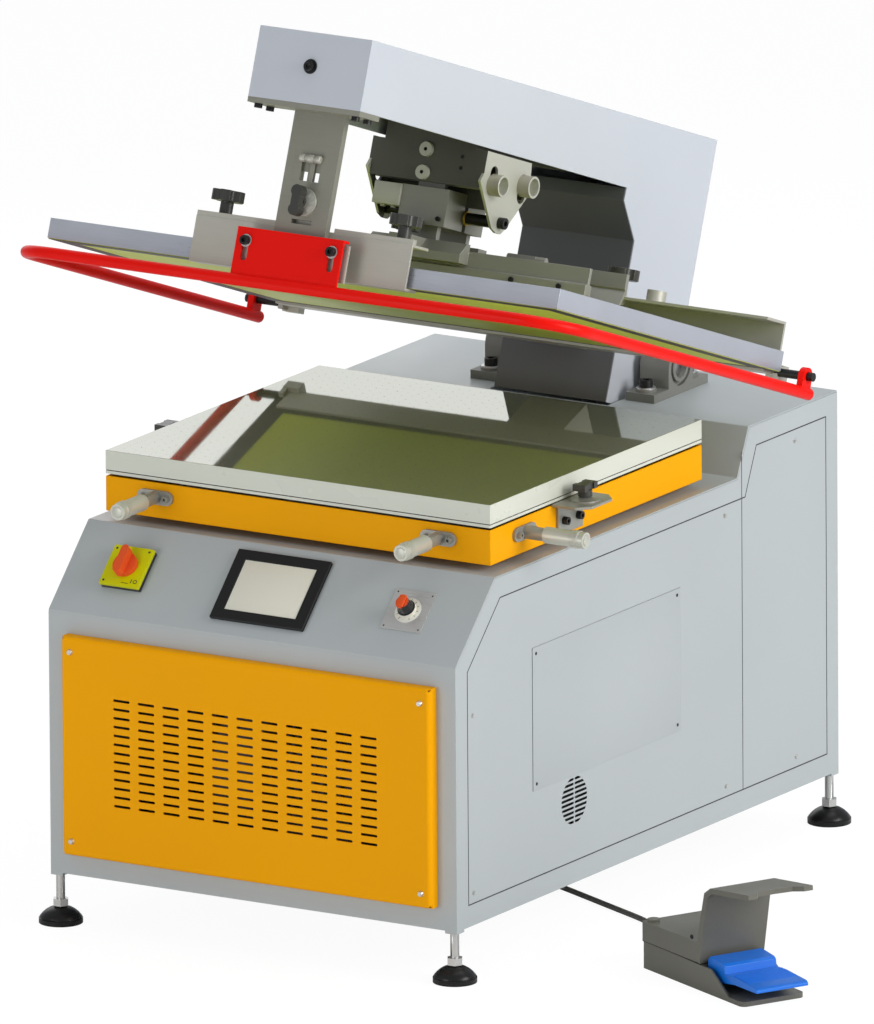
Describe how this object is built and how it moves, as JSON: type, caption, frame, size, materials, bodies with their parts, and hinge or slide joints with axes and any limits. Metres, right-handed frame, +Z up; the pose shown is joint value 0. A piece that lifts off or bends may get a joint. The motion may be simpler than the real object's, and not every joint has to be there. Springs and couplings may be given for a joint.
{
  "type": "clamshell flatbed screen printing press",
  "caption": "Floor-standing flatbed screen printing press: sheet-metal cabinet, vacuum table with fine adjustment, tilting head with squeegee carriage and clamped screen, foot switch on a lead.",
  "frame": {"origin": "on the floor, midway between the four levelling feet", "axes": "+Z up, -Y towards the operator's side with the console, +X to the operator's right, the side of the foot switch"},
  "size_m": [1.6366, 1.4552, 1.6476],
  "materials": {
    "rubber_feet": "glossy black moulded rubber",
    "zinc_steel": "bright zinc plated steel",
    "cabinet_paint": "light blue-grey powder coat, satin",
    "yellow_paint": "yellow-orange powder coat",
    "black_screws": "blackened steel",
    "isolator_yellow": "yellow plate on a black base",
    "isolator_red": "orange-red plastic",
    "bezel_black": "black plastic bezel with a pale screen",
    "dial_grey": "anodised plate with a cream dial",
    "knob_black": "black plastic",
    "blower_metal": "cast aluminium",
    "box_paint": "light grey paint",
    "machined_steel": "ground steel",
    "block_cast": "grey painted casting",
    "warm_aluminium": "warm grey anodised aluminium",
    "table_top": "glossy polished top, pale edge",
    "hood_paint": "pale blue-grey powder coat, smooth",
    "column_paint": "dark grey paint",
    "screen_alu": "anodised tube",
    "mesh_green": "yellow-green coated mesh",
    "safety_red": "signal red gloss paint",
    "squeegee_rubber": "brown polyurethane blade",
    "switch_cast": "warm grey hammered casting",
    "pedal_blue": "blue ribbed plastic",
    "cord_grey": "grey cord sheath",
    "gland_black": "black nylon"
  },
  "bodies": {
    "cabinet": {"foot_pads": "rubber_feet", "foot_studs": "zinc_steel", "cabinet_frame": "cabinet_paint", "front_cover": "yellow_paint", "console_panel": "cabinet_paint", "top_deck": "cabinet_paint", "side_panel_left": "cabinet_paint", "side_panel_right": "cabinet_paint", "rear_side_panels": "cabinet_paint", "back_panel": "cabinet_paint", "base_plate": "cabinet_paint", "cabinet_screws": "black_screws", "isolator_base": "isolator_yellow", "touch_screen": "bezel_black", "speed_plate": "dial_grey", "vacuum_blower": "blower_metal", "control_box": "box_paint", "lift_cylinder": "machined_steel", "pillow_blocks": "block_cast", "table_tray": "yellow_paint", "micrometer_sleeves": "warm_aluminium", "table_clamps": "warm_aluminium", "foot_switch": "switch_cast", "lead_gland": "gland_black", "foot_switch_lead": "cord_grey", "lead_coil": "cord_grey"},
    "isolator_handle": {"isolator_handle": "isolator_red"},
    "speed_knob": {"speed_knob": "knob_black"},
    "foot_pedal": {"foot_pedal": "pedal_blue"},
    "lift_rod": {"lift_rod": "machined_steel"},
    "micrometer_left": {"micrometer_left": "warm_aluminium"},
    "micrometer_right": {"micrometer_right": "warm_aluminium"},
    "micrometer_side": {"micrometer_side": "warm_aluminium"},
    "table_knob_left": {"table_knob_left": "knob_black"},
    "table_knob_right": {"table_knob_right": "knob_black"},
    "cross_slide": {"cross_slide": "machined_steel"},
    "turn_plate": {"turn_plate": "machined_steel"},
    "vacuum_table": {"vacuum_table": "table_top"},
    "head": {"head_shaft": "machined_steel", "hood": "hood_paint", "column_front": "column_paint", "beam_rails": "machined_steel", "drive_cylinder": "machined_steel", "post": "warm_aluminium"},
    "post_knob": {"post_knob": "knob_black"},
    "screen_carrier": {"front_clamp": "warm_aluminium", "rear_clamp": "warm_aluminium", "screen_frame": "screen_alu", "screen_mesh": "mesh_green", "stop_bracket": "warm_aluminium"},
    "clamp_knob_fl": {"clamp_knob_fl": "knob_black"},
    "clamp_knob_fr": {"clamp_knob_fr": "knob_black"},
    "clamp_knob_rl": {"clamp_knob_rl": "knob_black"},
    "clamp_knob_rr": {"clamp_knob_rr": "knob_black"},
    "safety_bar": {"safety_bar": "safety_red"},
    "carriage": {"carriage_frame": "warm_aluminium"},
    "squeegee": {"squeegee_holder": "warm_aluminium", "squeegee_blade": "squeegee_rubber"},
    "flood_bar": {"flood_bar": "warm_aluminium"}
  },
  "joints": [
    {"name": "isolator_turn", "type": "hinge", "parent": "cabinet", "child": "isolator_handle", "pos_m": [-0.3, -0.60612, 0.66741], "axis": [0, 0.7058, -0.7084], "range_deg": [0, 90]},
    {"name": "speed_turn", "type": "hinge", "parent": "cabinet", "child": "speed_knob", "pos_m": [0.287, -0.59906, 0.66032], "axis": [0, 0.7058, -0.7084], "range_deg": [0, 300]},
    {"name": "pedal_press", "type": "hinge", "parent": "cabinet", "child": "foot_pedal", "pos_m": [0.87565, -0.43612, 0.038], "axis": [0.4478, 0.8942, 0], "range_deg": [0, 3.2], "stiffness_Nm_per_rad": 20, "springref_deg": -2.86},
    {"name": "head_tilt", "type": "hinge", "parent": "cabinet", "child": "head", "pos_m": [0, 0.503, 0.856], "axis": [1, 0, 0], "range_deg": [0, 20]},
    {"name": "lift_stroke", "type": "slide", "parent": "cabinet", "child": "lift_rod", "axis": [0, 1, 0], "range_m": [0, 0.0661]},
    {"name": "table_y", "type": "slide", "parent": "cabinet", "child": "cross_slide", "axis": [0, 1, 0], "range_m": [-0.005, 0.005]},
    {"name": "table_x", "type": "slide", "parent": "cross_slide", "child": "turn_plate", "axis": [1, 0, 0], "range_m": [-0.005, 0.005]},
    {"name": "table_turn", "type": "hinge", "parent": "turn_plate", "child": "vacuum_table", "pos_m": [0, -0.138, 0.77], "axis": [0, 0, 1], "range_deg": [-1, 1]},
    {"name": "micrometer_left_turn", "type": "hinge", "parent": "cabinet", "child": "micrometer_left", "pos_m": [-0.298, -0.56, 0.771], "axis": [0, -1, 0], "range_deg": [-1900, 1900]},
    {"name": "micrometer_right_turn", "type": "hinge", "parent": "cabinet", "child": "micrometer_right", "pos_m": [0.298, -0.56, 0.771], "axis": [0, -1, 0], "range_deg": [-1900, 1900]},
    {"name": "micrometer_side_turn", "type": "hinge", "parent": "cabinet", "child": "micrometer_side", "pos_m": [0.46, -0.3915, 0.771], "axis": [1, 0, 0], "range_deg": [-1900, 1900]},
    {"name": "table_knob_left_turn", "type": "hinge", "parent": "cabinet", "child": "table_knob_left", "pos_m": [-0.441, -0.2365, 0.815], "axis": [0, 0, 1], "continuous": true},
    {"name": "table_knob_right_turn", "type": "hinge", "parent": "cabinet", "child": "table_knob_right", "pos_m": [0.441, -0.2365, 0.815], "axis": [0, 0, 1], "continuous": true},
    {"name": "post_knob_turn", "type": "hinge", "parent": "head", "child": "post_knob", "pos_m": [0, -0.47347, 1.34549], "axis": [0, -0.9397, 0.342], "continuous": true},
    {"name": "screen_height", "type": "slide", "parent": "head", "child": "screen_carrier", "axis": [0, 0.342, 0.9397], "range_m": [-0.008, 0]},
    {"name": "clamp_knob_fl_turn", "type": "hinge", "parent": "screen_carrier", "child": "clamp_knob_fl", "pos_m": [-0.187, -0.4388, 1.29456], "axis": [0, 0.342, 0.9397], "continuous": true},
    {"name": "clamp_knob_fr_turn", "type": "hinge", "parent": "screen_carrier", "child": "clamp_knob_fr", "pos_m": [0.187, -0.4388, 1.29456], "axis": [0, 0.342, 0.9397], "continuous": true},
    {"name": "clamp_knob_rl_turn", "type": "hinge", "parent": "screen_carrier", "child": "clamp_knob_rl", "pos_m": [-0.187, 0.30168, 1.02505], "axis": [0, 0.342, 0.9397], "continuous": true},
    {"name": "clamp_knob_rr_turn", "type": "hinge", "parent": "screen_carrier", "child": "clamp_knob_rr", "pos_m": [0.187, 0.30168, 1.02505], "axis": [0, 0.342, 0.9397], "continuous": true},
    {"name": "safety_lift", "type": "hinge", "parent": "screen_carrier", "child": "safety_bar", "pos_m": [0, 0.29533, 0.93159], "axis": [-1, 0, 0], "range_deg": [0, 1.7]},
    {"name": "carriage_stroke", "type": "slide", "parent": "head", "child": "carriage", "axis": [0, 0.9397, -0.342], "range_m": [-0.29, 0.2]},
    {"name": "squeegee_lift", "type": "slide", "parent": "carriage", "child": "squeegee", "axis": [0, 0.342, 0.9397], "range_m": [-0.0066, 0.0214]},
    {"name": "flood_lift", "type": "slide", "parent": "carriage", "child": "flood_bar", "axis": [0, 0.342, 0.9397], "range_m": [-0.0196, 0.0084]}
  ],
  "couplings": [
    {"joint": "lift_stroke", "follows": "head_tilt", "m_per_rad": 0.18904},
    {"joint": "micrometer_left_turn", "follows": "table_y", "rad_per_m": 6283.2},
    {"joint": "micrometer_right_turn", "follows": "table_y", "rad_per_m": 6283.2},
    {"joint": "micrometer_side_turn", "follows": "table_x", "rad_per_m": 6283.2}
  ]
}
